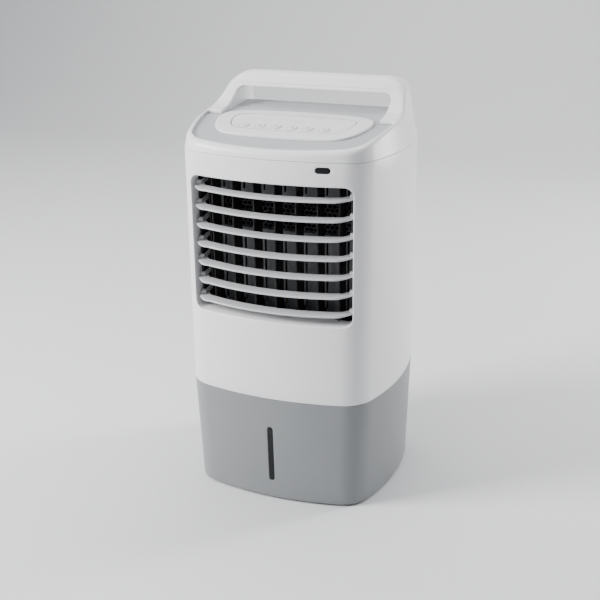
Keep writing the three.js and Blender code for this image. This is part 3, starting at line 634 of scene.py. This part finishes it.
# ---- stage, lights and camera -------------------------------------------------------------------------------------
def build_stage():
    """A pale paper sweep: flat under the object, curving up far behind it."""
    bend = [(2.2 + 1.6 * math.sin(a), 1.6 - 1.6 * math.cos(a)) for a in np.linspace(0, math.pi / 2, 17)]
    line = [(-9.0, 0.0)] + bend + [(3.8, 6.0)]
    verts = [(x / MM, y / MM, z / MM) for y, z in line for x in (-9.0, 9.0)]
    faces = [(2 * k, 2 * k + 1, 2 * k + 3, 2 * k + 2) for k in range(len(line) - 1)]
    floor = smooth(object_from("floor", verts, faces))
    mat = material("floor_paper", (0.68, 0.685, 0.695), 0.75, grain=0.1, mottle=0.01, mottle_scale=2)
    floor.data.materials.append(mat)
    world = bpy.data.worlds.new("studio")
    bpy.context.scene.world = world
    world.use_nodes = True
    world.node_tree.nodes["Background"].inputs["Color"].default_value = (0.93, 0.95, 1.0, 1)
    world.node_tree.nodes["Background"].inputs["Strength"].default_value = 0.24


def soft_light(name, place, aim, size, power, color=(1, 1, 1)):
    lamp = bpy.data.lights.new(name, "AREA")
    lamp.shape = "RECTANGLE"
    lamp.size, lamp.size_y = size
    lamp.energy = power
    lamp.color = color
    obj = bpy.data.objects.new(name, lamp)
    obj.location = place
    obj.rotation_euler = (Vector(aim) - Vector(place)).to_track_quat("-Z", "Y").to_euler()
    bpy.context.scene.collection.objects.link(obj)


def build_lights():
    soft_light("key", (-1.75, -1.25, 1.45), (0, 0, 0.42), (0.8, 1.4), 116)
    soft_light("side", (1.7, 1.5, 0.9), (0, 0, 0.38), (0.5, 1.5), 58)
    soft_light("top", (-0.3, -0.1, 2.9), (0, 0.1, 0.3), (2.6, 2.6), 40)
    soft_light("back", (0, 1.2, 3.6), (0, 3.6, 0.8), (4.0, 1.5), 105)
    soft_light("front", (-0.5, -2.6, 0.9), (0, 0, 0.38), (0.8, 0.8), 7)


CAMERA_PLACE = (0.5125, -1.2686, 0.7667)
CAMERA_YAW = 20.42
CAMERA_PITCH = 19.60


def build_camera():
    yaw, pitch = math.radians(CAMERA_YAW), math.radians(CAMERA_PITCH)
    back = Vector((math.sin(yaw) * math.cos(pitch), -math.cos(yaw) * math.cos(pitch), math.sin(pitch)))
    lens = bpy.data.cameras.new("camera")
    lens.lens = 59.456
    lens.sensor_width = 36
    lens.shift_x, lens.shift_y = -0.0496, -0.0197
    camera = bpy.data.objects.new("camera", lens)
    camera.location = CAMERA_PLACE
    camera.rotation_euler = (-back).to_track_quat("-Z", "Y").to_euler()
    bpy.context.scene.collection.objects.link(camera)
    bpy.context.scene.camera = camera


# ---- CAD nodes that keep their shape ------------------------------------------------------------------------------
def dress_nodes():
    for node, obj in NODES.items():
        look = LOOKS[SLOT_OF[node]]
        # the vanes and the blower parts behind the outlet get the darkened black, painted shade
        if node.startswith("vane_") or node in ("scroll_housing", "blower_wheel", "blower_motor"):
            look = SHADED_BLACK
        # the louvre blades get the darkened white, painted shade
        if node.startswith("louvre_blade"):
            look = SHADED_BLADE_WHITE
        obj.data.materials.clear()
        obj.data.materials.append(look)


# ---- small fronts ------------------------------------------------------------------------------------------------
def window_piece(node, outline, surface, depth, look, sink=0.15):
    """A clear window flush with the bowed front, its edge rounded."""
    n = len(outline)
    rings = []
    for inset, back in ((0.0, depth), (0.0, 0.5), (0.15, 0.15), (0.5, 0.0)):
        points = offset_outline(outline, inset)
        rings.append(np.column_stack([points[:, 0], surface(points[:, 0], points[:, 1]) + sink + back, points[:, 1]]))
    middle = outline.mean(axis=0)
    for f in (0.75, 0.5, 0.25):
        points = middle + (offset_outline(outline, 0.5) - middle) * f
        rings.append(np.column_stack([points[:, 0], surface(points[:, 0], points[:, 1]) + sink, points[:, 1]]))
    return piece(loft(node + "_glass", rings), look, node)


def build_windows():
    low, high = box_mm("level_window")
    slot = densify(rounded_rect(3.95, low[2], high[2], 3.9), 3)
    window_piece("level_window", slot, grey_front, 2.2, LENS, sink=0.9)
    low, high = box_mm("ir_window")
    half = (high[0] - low[0]) / 2
    lens = rounded_rect(half, low[2], high[2], 3.8)
    lens[:, 0] += (low[0] + high[0]) / 2
    window_piece("ir_window", densify(lens, 2), white_front, 2.0, LENS, sink=0.2)


# ---- top cover and handle --------------------------------------------------------------------------------------------
HANDLE_FRONT = [(-14, 535.2), (8, 539), (25, 548), (40, 560), (50, 571.5), (58, 580), (66, 585.5)]
HANDLE_BACK = [(77, 585.5), (86, 580.5), (90.5, 571), (94, 545)]
HANDLE_SHELF = [(100, 529), (124, 522), (136, 512)]
LOOP_X = 98.1
LOOP_R = 44.0
LOOP_TOP = 584.5
HOLE_R = 10.0
RUN_OFF_Z = 527.5


def eased(points, passes=2):
    """Rounds an open outline by cutting its corners."""
    points = [np.array(p, float) for p in points]
    for _ in range(passes):
        out = [points[0]]
        for a, b in zip(points, points[1:]):
            out += [a * 0.75 + b * 0.25, a * 0.25 + b * 0.75]
        points = out + [points[-1]]
    return points


def cover_profile():
    rim = [(y, rim_z(y)) for y in np.arange(-150, HANDLE_FOOT - 7, 12)]
    upper = eased(rim[-2:] + HANDLE_FRONT + HANDLE_BACK + HANDLE_SHELF)
    return np.array(rim[:-2] + [tuple(p) for p in upper] + [(150, 505), (150, COVER_Z - 12), (-150, COVER_Z - 12)])


def cover_field():
    """The distance field of the top cover with its handle, deck recess and hand hole."""
    profile = cover_profile()
    under = np.array([(-145, 492), (-145, 496), (-124, 502.5), (-60, 520.5), (-14, 530), (66, 532), (88, 521),
                      (104, 512), (145, 496), (145, 492)], float)

    def slab(value, low, high):
        return np.maximum(low - value, value - high)

    def field(x, y, z):
        s = 1 - COVER_LEAN * np.maximum(0, z - COVER_Z) / HALF_W
        skin = plan_distance(x / s, y / s) * s
        ax = np.abs(x)
        u, v = ax - LOOP_X, z - LOOP_TOP + LOOP_R
        lean = (u + COVER_LEAN * v) / math.hypot(1, COVER_LEAN)
        loop = np.where(u < 0, v, np.where(v < COVER_LEAN * u, lean, np.hypot(u, v))) - LOOP_R
        f = np.clip((y - HANDLE_FOOT) / 60, 0, 1)
        body = round_max(np.maximum(skin, loop), polygon_distance(y, z, profile), 5 + 3 * f * f * (3 - 2 * f))
        floor = deck_z(y) - 2.9 - z
        rim = round_max(plan_distance(x, y) + RIM_INSET, y - HANDLE_FOOT, 5.0)
        front = np.maximum(rim, floor)
        side = ax - HANDLE_HALF
        arch = np.hypot(np.maximum(side + HOLE_R, 0), np.maximum(z - HANDLE_UNDER + HOLE_R, 0)) - HOLE_R
        scoop = np.maximum(np.maximum(arch, slab(y, HANDLE_FOOT - 9, RIDGE_Y)), floor)
        behind = np.maximum(RIDGE_Z - 0.5 * np.maximum(y - RIDGE_Y, 0), RUN_OFF_Z) - z
        hole = np.maximum(np.maximum(arch, -20 - y), behind)
        hollow = np.maximum(skin + WALL + 0.3, polygon_distance(y, z, under))
        cut = np.minimum(front, np.minimum(scoop, hole))
        body = round_max(body, -cut, 1.8)
        return np.maximum(body, -hollow)

    return field


def build_cover():
    cell = 1.35
    cover = net_surface("cover_body", cover_field(), (-HALF_W, -HALF_D, COVER_Z - 14), (HALF_W, HALF_D, TOP_Z), cell)
    combine(cover, box_object("cut", -200, 200, -200, 200, COVER_Z, 700), "INTERSECT")
    chamfer = loft("cut", [level_ring(i, z) for i, z in ((-1.5, COVER_Z - 1), (-1.5, COVER_Z + 2.3), (0.9, COVER_Z - 0.1))], closed=True)
    combine(cover, chamfer, "DIFFERENCE")

    low, high = box_mm("handle_grip")
    grip = cover.copy()
    grip.data = cover.data.copy()
    grip.name = "grip_insert"
    bpy.context.scene.collection.objects.link(grip)
    combine(grip, box_object("cut", low[0], high[0], 20, high[1], low[2] - 9, high[2]), "INTERSECT")
    combine(grip, box_object("cut", -200, 200, -100, BAR_FRONT - 8, 400, 600), "DIFFERENCE")
    gap = 0.35
    combine(cover, box_object("cut", low[0] - gap, high[0] + gap, 30, high[1] + gap, low[2] - 9, high[2] + gap), "DIFFERENCE")
    piece(cover, WHITE, "top_cover", angle=50)
    piece(grip, WHITE, "handle_grip", angle=50)


# ---- deck, bezel, touch panel and keys ---------------------------------------------------------------------------------
BEZEL = [(0, -90), (45, -89), (80, -84), (97, -72), (107, -52), (111, -32), (107, -12), (92, 1), (62, 7.5), (0, 10.5)]
PANEL = [(0, -70), (40, -69.4), (66, -67.5), (78, -61.5), (84.5, -48), (88, -32), (84.5, -19.5), (72, -13.4),
         (40, -10.4), (0, -9)]


def inset_shape(half, inset):
    middle = (half[0][1] + half[-1][1]) / 2
    reach = max(x for x, _ in half)
    rise = abs(half[0][1] - middle)
    return smooth_closed([(x * (1 - inset / reach), middle + (y - middle) * (1 - inset / rise)) for x, y in half], 9)


def deck_band(name, y0, y1, under, over, half=170.0, steps=60):
    """A slab that follows the deck's slope, from under to over its surface."""
    ys = np.linspace(y0, y1, steps)
    section = [(y, deck_z(y) + over) for y in ys] + [(y, deck_z(y) + under) for y in ys[::-1]]
    return loft(name, [[(x, y, z) for y, z in section] for x in (-half, half)])


def build_deck():
    deck = deck_band("deck_plate", -130, RIDGE_Y - 0.4, -2.5, 0)
    front = prism_z("cut", plan_points(RIM_INSET + 0.4), 480, 600)
    combine(front, box_object("cut", -200, 200, -200, HANDLE_FOOT - 0.4, 480, 600), "INTERSECT")
    rear = box_object("cut", 0.4 - HANDLE_HALF, HANDLE_HALF - 0.4, HANDLE_FOOT - 2, RIDGE_Y - 0.4, 480, 600)
    combine(front, rear, "UNION")
    combine(deck, front, "INTERSECT")
    combine(deck, prism_z("cut", inset_shape(PANEL, 2.2), 480, 600), "DIFFERENCE")
    piece(deck, DECK, "deck_panel")

    outer, inner = inset_shape(BEZEL, 0), inset_shape(PANEL, 0)

    def at(points, rise):
        return np.column_stack([points, deck_z(points[:, 1]) + rise])

    rings = [at(outer, 0.3)]
    r = 1.5
    for a in np.radians((0, 18, 36, 54, 72, 90)):
        rings.append(at(offset_outline(outer, r - r * math.cos(a)), 3.2 - r + r * math.sin(a)))
    for f in (0.3, 0.6, 0.9):
        rings.append(at(offset_outline(outer, r) * (1 - f) + offset_outline(inner, -1.7) * f, 3.2))
    for a in np.radians((90, 45, 0)):
        rings.append(at(offset_outline(inner, -1.6 + 0.4 * math.cos(a)), 2.8 + 0.4 * math.sin(a)))
    rings.append(at(offset_outline(inner, -1.2), 0.3))
    piece(loft("bezel_ring", rings, closed=True), CONTROL, "control_bezel")

    # A grey ring filling the gap between bezel and touch panel, nearly flush with the panel: painted shade of the gap.
    gap_shade_rings = [at(offset_outline(inner, i), h) for i, h in ((-1.15, 0.4), (-1.15, 2.75), (0.4, 2.75), (0.4, 0.4))]
    piece(loft("panel_gap_shade", gap_shade_rings, closed=True), GAP_SHADE_GREY, "deck_panel", replaces=False)

    panel = deck_band("panel_plate", -100, 20, 0.3, 2.8, half=100)
    combine(panel, prism_z("cut", inset_shape(PANEL, 0.45), 480, 600), "INTERSECT")
    for i in range(KEY_COUNT):
        combine(panel, key_solid("cut", i, 7.0, -9, 9, 0), "DIFFERENCE")
    piece(panel, CONTROL, "touch_panel")


def key_frame(i):
    """The frame of a key: origin at the middle of its top, Z out of the panel."""
    low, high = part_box(f"key_{i + 1}")
    axis = -Vector(JOINTS[f"key_press_{i + 1}"]["axis"])
    x = (low[0] + high[0]) / 2 / MM
    y = -58.5
    top = deck_z(y) + 3.0
    turn = Vector((0, 0, 1)).rotation_difference(axis).to_matrix().to_4x4()
    return Matrix.Translation((x, y, float(top))) @ turn


def key_solid(name, i, r, low, high, edge):
    place = key_frame(i)
    stations = [(low, r)]
    if edge:
        stations += [(high - edge + edge * math.sin(a), r - edge + edge * math.cos(a)) for a in np.radians((0, 30, 60, 90))]
        stations += [(high - 0.12, r * 0.7), (high - 0.2, r * 0.35)]
    else:
        stations += [(high, r)]
    rings = []
    for z, radius in stations:
        rings.append([tuple(place @ Vector((radius * math.cos(t), radius * math.sin(t), z))) for t in np.linspace(0, 2 * math.pi, 49)[:-1]])
    return loft(name, rings)


def arc_band(radius, width, start, stop, steps=20, centre=(0, 0)):
    a = np.radians(np.linspace(start, stop, steps))
    outer = [(centre[0] + (radius + width / 2) * math.cos(t), centre[1] + (radius + width / 2) * math.sin(t)) for t in a]
    inner = [(centre[0] + (radius - width / 2) * math.cos(t), centre[1] + (radius - width / 2) * math.sin(t)) for t in a[::-1]]
    return outer + inner


def bar(x0, y0, x1, y1, width):
    d = np.array([x1 - x0, y1 - y0], float)
    n = np.array([-d[1], d[0]]) / np.hypot(*d) * width / 2
    a, b = np.array([x0, y0]), np.array([x1, y1])
    return [tuple(a - n), tuple(b - n), tuple(b + n), tuple(a + n)]


def petal(turn, reach=2.6, width=0.85):
    t = math.radians(turn)
    points = []
    for s in np.linspace(0, 2 * math.pi, 17)[:-1]:
        u, v = reach * 0.5 + reach * 0.5 * math.cos(s), width * math.sin(s) * (0.6 + 0.4 * math.cos(s))
        points.append((u * math.cos(t) - v * math.sin(t), u * math.sin(t) + v * math.cos(t)))
    return points


def icon_shapes():
    """Six generic marks: power, speed, swing, mist, timer and mode."""
    return [
        [arc_band(2.3, 0.4, -235, 55), bar(0, 0.6, 0, 3.0, 0.45)],
        [petal(90), petal(210), petal(330)],
        [arc_band(2.6, 0.4, 30, 150), arc_band(1.5, 0.4, 30, 150), bar(-2.4, -1.2, 2.4, -1.2, 0.45)],
        [petal(90, 3.2, 1.5), bar(-1.8, -1.3, 1.8, -1.3, 0.4)],
        [arc_band(2.5, 0.4, 0, 359, 36), bar(0, 0, 0, 1.7, 0.4), bar(0, 0, 1.2, 0, 0.4)],
        [bar(-2.2, 1.4, 2.2, 1.4, 0.4), bar(-2.2, 0, 1.2, 0, 0.4), bar(-2.2, -1.4, 2.2, -1.4, 0.4)],
    ]


def printed(name, shapes, place, node, thick=0.05):
    """Thin raised print; place turns its (x, y, height) into the frame."""
    verts, faces = [], []
    for shape in shapes:
        n, start = len(shape), len(verts)
        verts += [tuple(place(x, y, h)) for h in (-0.04, thick) for x, y in shape]
        faces.append(tuple(start + k for k in range(n))[::-1])
        faces.append(tuple(start + n + k for k in range(n)))
        faces += [(start + k, start + (k + 1) % n, start + n + (k + 1) % n, start + n + k) for k in range(n)]
    obj = object_from(name, verts, faces)
    outward(obj)
    return piece(obj, PRINT, node, replaces=False)


MARK_SCALE = 1.35


def build_keys():
    for i, shapes in enumerate(icon_shapes()):
        key = key_solid(f"key_cap_{i + 1}", i, 6.7, -3.6, 0.6, 0.45)
        piece(key, CONTROL, f"key_{i + 1}")
        frame_of = key_frame(i)
        place = lambda x, y, h: frame_of @ Vector((MARK_SCALE * x, MARK_SCALE * y, 0.42 + h))
        printed(f"key_mark_{i + 1}", shapes, place, f"key_{i + 1}")

    def on_panel(x, y, h):
        return (x, y, float(deck_z(y)) + 2.8 + h)

    lamps = []
    for i in range(KEY_COUNT):
        x = sum(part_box(f"key_{i + 1}")[k][0] for k in (0, 1)) / 2 / MM
        for k in (-1, 1):
            lamps.append(arc_band(0.8, 0.3, 0, 359, 20, (x + 4.5 * k, -34)))
        lamps.append(bar(x - 3.5, -40, x + 3.5, -40, 0.4))
        lamps.append(arc_band(7.7, 0.4, 0, 359.5, 48, (x, -58.5)))
    printed("indicator_marks", lamps, on_panel, "touch_panel")


# ---- louvre -------------------------------------------------------------------------------------------------------------
BLADE_BOW = FRONT_R - 3
BLADE_CENTRE = BLADE_BOW - 31.5
BLADE_REAR_BOW = BLADE_BOW - 16
BLADE_TIP = 112.2
BLADE_TILT = 8.0
LINK_ARM = 21.0


def blade_edges(x):
    """Front and rear edge of a blade at x, from its pivot."""
    ax = abs(x)
    bow = BLADE_CENTRE - math.sqrt(BLADE_BOW**2 - min(ax, 92) ** 2)
    if ax > 92:
        f = (ax - 92) / (BLADE_TIP - 92)
        tip, pull = (-9.5, -23) if x < 0 else (-4, -17.8)
        bow = (1 - f) ** 2 * bow + 2 * f * (1 - f) * pull + f * f * tip
    rear = BLADE_CENTRE - math.sqrt(BLADE_REAR_BOW**2 - min(ax, 98) ** 2)
    if ax > 98:
        f = min(1, (ax - 98) / 6.2)
        rear = rear + (3.5 - rear) * f
    return bow, rear


def blade_section(x):
    """A blade's section: a rounded, slightly thicker front edge and a thin rear edge."""
    front, rear = blade_edges(x)
    rf, rr = 1.45, 1.0
    mid = -2.35
    points = []
    for a in np.radians(np.linspace(90, 270, 11)):
        points.append((front + rf + rf * math.cos(a), mid + rf * math.sin(a)))
    for a in np.radians(np.linspace(-90, 90, 9)):
        points.append((rear - rr + rr * math.cos(a), mid + rr * math.sin(a)))
    return [(x, y, z) for y, z in points]


def build_blades():
    stations = sorted(set(np.round(np.concatenate([
        np.linspace(-92, 92, 47), np.linspace(92, BLADE_TIP, 15), -np.linspace(92, BLADE_TIP, 15)]), 4)))
    plate = loft("plate", [blade_section(x) for x in stations])
    for parts in (
        ("x", 3.6, -BLADE_TIP, -BLADE_TIP + 6.5, 0.5), ("x", 3.6, BLADE_TIP - 5, BLADE_TIP, 0.5),
        ("x", 1.7, -BLADE_TIP - 4.6, -BLADE_TIP + 1, 0.3), ("x", 1.7, BLADE_TIP - 1, BLADE_TIP + 4.6, 0.3),
    ):
        axis, r, a, b, edge = parts
        combine(plate, rod_object("rod", axis, r, a, b, 0, 0, 32, edge), "UNION")
    lug = [(-1.0, -3.4), (LINK_ARM, -3.3)]
    lug += [(LINK_ARM + 3.6 * math.sin(a), -3.3 * math.cos(a)) for a in np.radians(np.linspace(15, 180, 12))]
    lug += [(-1.0, 2.4)]
    x1 = -105.5 - 1.3
    arm = loft("arm", [[(x, y, z) for y, z in lug] for x in (x1 - 2.0, x1)])
    combine(plate, arm, "UNION")
    combine(plate, rod_object("hole", "x", 2.1, -112, -102, LINK_ARM, 0, 20), "DIFFERENCE")
    for i in range(BLADE_COUNT):
        blade = plate.copy()
        blade.data = plate.data.copy()
        blade.name = f"blade_{i + 1}"
        bpy.context.scene.collection.objects.link(blade)
        blade.data.transform(
            Matrix.Translation([v * MM for v in pivot_mm(f"louvre_tilt_{i + 1}")])
            @ Matrix.Rotation(math.radians(BLADE_TILT), 4, "X")
        )
        # each blade gets the darkened white, painted shade
        piece(blade, SHADED_BLADE_WHITE, f"louvre_blade_{i + 1}")
    bpy.data.objects.remove(plate)


# ---- vanes, plate and guard ------------------------------------------------------------------------------------------------
VANE_REAR = -76.0


def build_vanes():
    for i in range(VANE_COUNT):
        node = f"vane_{i + 1}"
        low, high = box_mm(node)
        x, y, _ = pivot_mm(f"vane_swing_{i + 1}")
        z0, z1 = 278.0, 465.6
        vane = box_object(f"vane_leaf_{i + 1}", x - 0.9, x + 0.9, low[1], VANE_REAR, z0, z1, 0.6, 3)
        combine(vane, box_object("foot", x - 0.8, x + 0.8, y, high[1], z0, z0 + 5, 0.5, 2), "UNION")
        for a, b, v in ((low[2], z0 + 1, y), (z1 - 1, high[2], y), (269.6, z0 + 1, y + 12)):
            combine(vane, rod_object("pin", "z", 1.7, a, b, x, v, 16, 0.3), "UNION")
        # the vane gets the darkened black, painted shade
        piece(vane, SHADED_BLACK, node)


def build_guard():
    low, high = box_mm("outlet_guard")
    y = (low[1] + high[1]) / 2
    side = 3.9
    wire = 0.38
    segments = set()
    step_x, step_z = side * math.sqrt(3), side * 1.5
    rows = int((high[2] - low[2]) / step_z) + 2
    columns = int((high[0] - low[0]) / step_x) + 2
    for row in range(rows):
        for column in range(columns):
            cx = low[0] + (column + 0.5 * (row % 2)) * step_x
            cz = low[2] + row * step_z
            hexagon = [(cx + side * math.sin(math.radians(60 * k)), cz + side * math.cos(math.radians(60 * k))) for k in range(6)]
            for k in range(6):
                a, b = hexagon[k], hexagon[(k + 1) % 6]
                if all(low[0] < p[0] < high[0] and low[2] < p[1] < high[2] for p in (a, b)):
                    key = tuple(sorted(((round(a[0], 2), round(a[1], 2)), (round(b[0], 2), round(b[1], 2)))))
                    segments.add(key)
    verts, faces = [], []
    for (ax, az), (bx, bz) in sorted(segments):
        d = np.array([bx - ax, bz - az])
        d = d / np.hypot(*d)
        n = np.array([-d[1], d[0]])
        start = len(verts)
        for px, pz, way in ((ax, az, -0.3), (bx, bz, 0.3)):
            for u, v in ((wire, 0), (0, wire), (-wire, 0), (0, -wire)):
                verts.append((px + n[0] * u + d[0] * way, y + v, pz + n[1] * u + d[1] * way))
        faces += [(start + k, start + (k + 1) % 4, start + 4 + (k + 1) % 4, start + 4 + k) for k in range(4)]
        faces += [(start + 3, start + 2, start + 1, start), (start + 4, start + 5, start + 6, start + 7)]
    wires = object_from("guard_wires", verts, faces)
    outward(wires)
    t = 0.7
    frame_bars = [
        box_object("bar", low[0], high[0], low[1], high[1], low[2], low[2] + t, 0.2, 2),
        box_object("bar", low[0], high[0], low[1], high[1], high[2] - t, high[2], 0.2, 2),
        box_object("bar", low[0], low[0] + t, low[1], high[1], low[2] + t, high[2] - t, 0.2, 2),
        box_object("bar", high[0] - t, high[0], low[1], high[1], low[2] + t, high[2] - t, 0.2, 2),
    ]
    piece(joined("guard_net", [wires] + frame_bars), WIRE, "outlet_guard")


def joined(name, objects):
    """Puts several meshes in one object."""
    bm = bmesh.new()
    for obj in objects:
        bm.from_mesh(obj.data)
    mesh = bpy.data.meshes.new(name)
    bm.to_mesh(mesh)
    bm.free()
    for obj in objects:
        bpy.data.objects.remove(obj)
    out = bpy.data.objects.new(name, mesh)
    bpy.context.scene.collection.objects.link(out)
    return out


# ---- rear -------------------------------------------------------------------------------------------------------------
def build_feet():
    for i in range(4):
        low, high = box_mm(f"foot_{i + 1}")
        x, y = (low[0] + high[0]) / 2, (low[1] + high[1]) / 2
        foot = rod_object(f"foot_pad_{i + 1}", "z", (high[0] - low[0]) / 2, low[2], high[2], x, y, 48, 0.8)
        piece(foot, RUBBER, f"foot_{i + 1}")


def softened(node, look, width=0.5, angle=40):
    """A node's own shape with its edges rounded."""
    source = NODES[node]
    obj = bpy.data.objects.new(node + "_soft", source.data.copy())
    obj.matrix_world = source.matrix_world.copy()
    bpy.context.scene.collection.objects.link(obj)
    bm = bmesh.new()
    bm.from_mesh(obj.data)
    bmesh.ops.remove_doubles(bm, verts=bm.verts, dist=1e-6)
    bmesh.ops.dissolve_limit(bm, angle_limit=math.radians(1), verts=bm.verts, edges=bm.edges)
    bm.to_mesh(obj.data)
    bm.free()
    if width:
        mod = obj.modifiers.new("bevel", "BEVEL")
        mod.width = width * MM
        mod.segments = 2
        mod.limit_method = "ANGLE"
        mod.angle_limit = math.radians(35)
        mod.use_clamp_overlap = True
        baked(obj)
    return piece(obj, look, node, angle=angle)


build_camera()
build_stage()
build_lights()
dress_nodes()
build_housings()
build_base()
build_windows()
build_cover()
build_deck()
build_keys()
build_blades()
build_vanes()
build_guard()
build_feet()
for soft_node, soft_look in (
    ("water_tank", GREY), ("tank_cover", CLEAR), ("water_pump", BLACK), ("level_float", FLOAT), ("cord_inlet", RUBBER),
    ("intake_grille", WHITE), ("outlet_frame", BLACK), ("outlet_plate", DARK), ("louvre_link", BLACK),
):
    softened(soft_node, soft_look)
